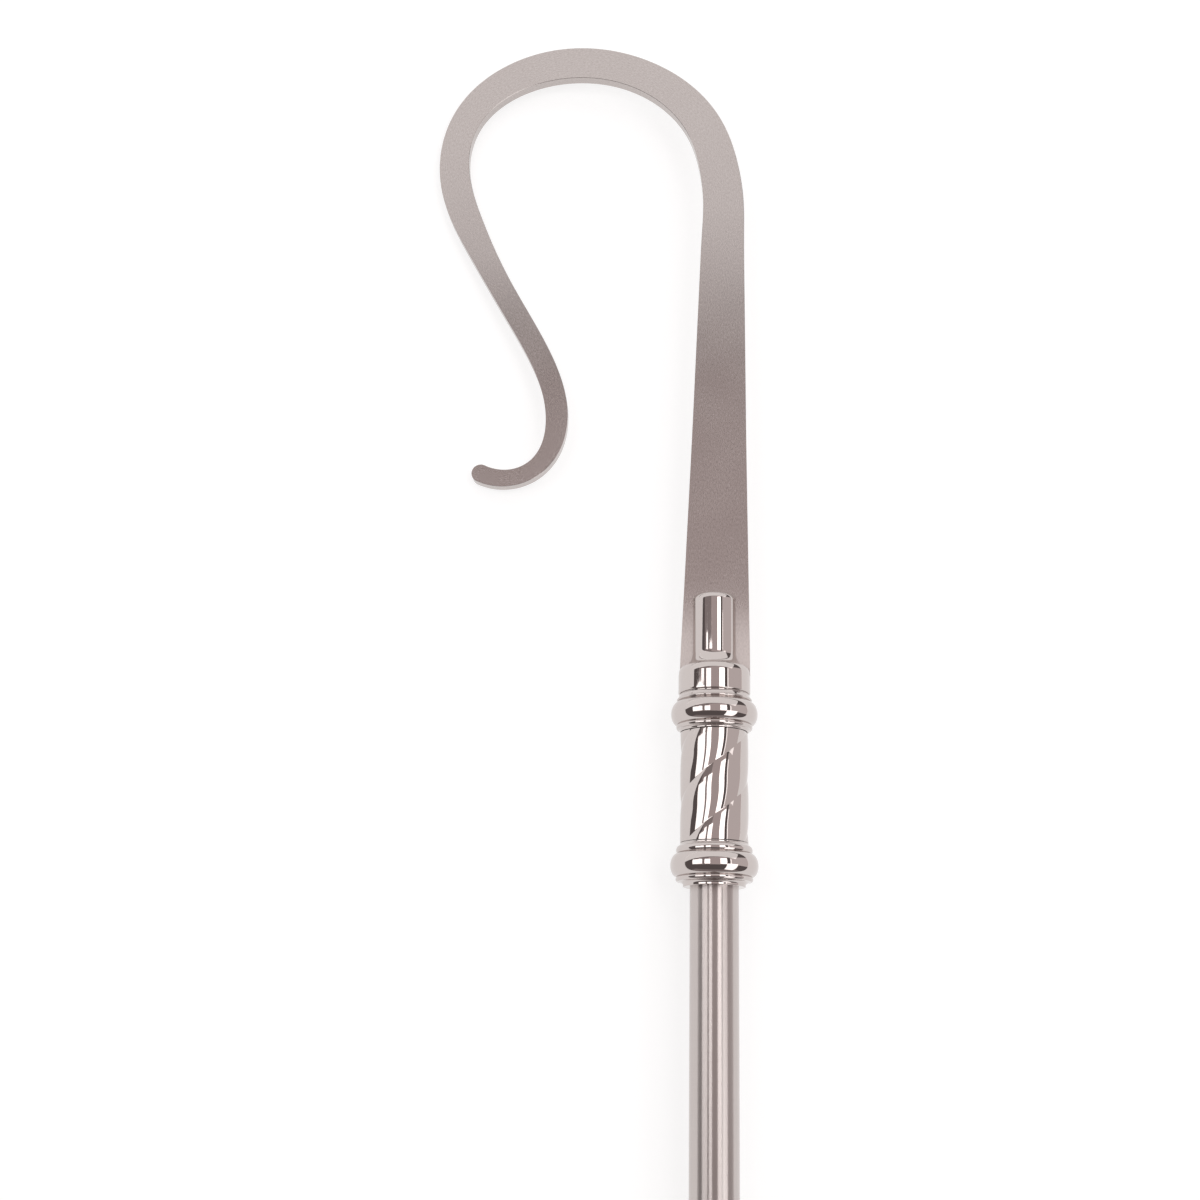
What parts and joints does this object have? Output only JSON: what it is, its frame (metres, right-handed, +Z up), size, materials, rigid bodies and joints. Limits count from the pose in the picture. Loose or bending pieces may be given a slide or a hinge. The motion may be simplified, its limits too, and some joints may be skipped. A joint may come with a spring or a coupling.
{
  "type": "bishop crosier",
  "caption": "Ceremonial pastoral staff with a flat shepherd's-crook head in a slit turned socket, a beaded knop with a twisted sleeve and a plain round tube.",
  "frame": {"origin": "middle of the lying staff's bounding box, on the floor that it lies on", "axes": "+Y along the staff from its foot to the crook, +Z up from the floor, with the flat of the crook facing up; the crook curls to -X"},
  "size_m": [0.1804, 1.8292, 0.0462],
  "materials": {
    "satin_plate": "satin, brushed along the bar",
    "satin_tube": "satin, brushed round the tube",
    "polished_metal": "mirror polish, warm nickel tone"
  },
  "bodies": {
    "root": {"crook": "satin_plate", "socket": "polished_metal", "upper_collar": "polished_metal", "twisted_sleeve": "polished_metal", "lower_collar": "polished_metal", "staff_tube": "satin_tube", "foot_ferrule": "polished_metal"}
  },
  "joints": []
}
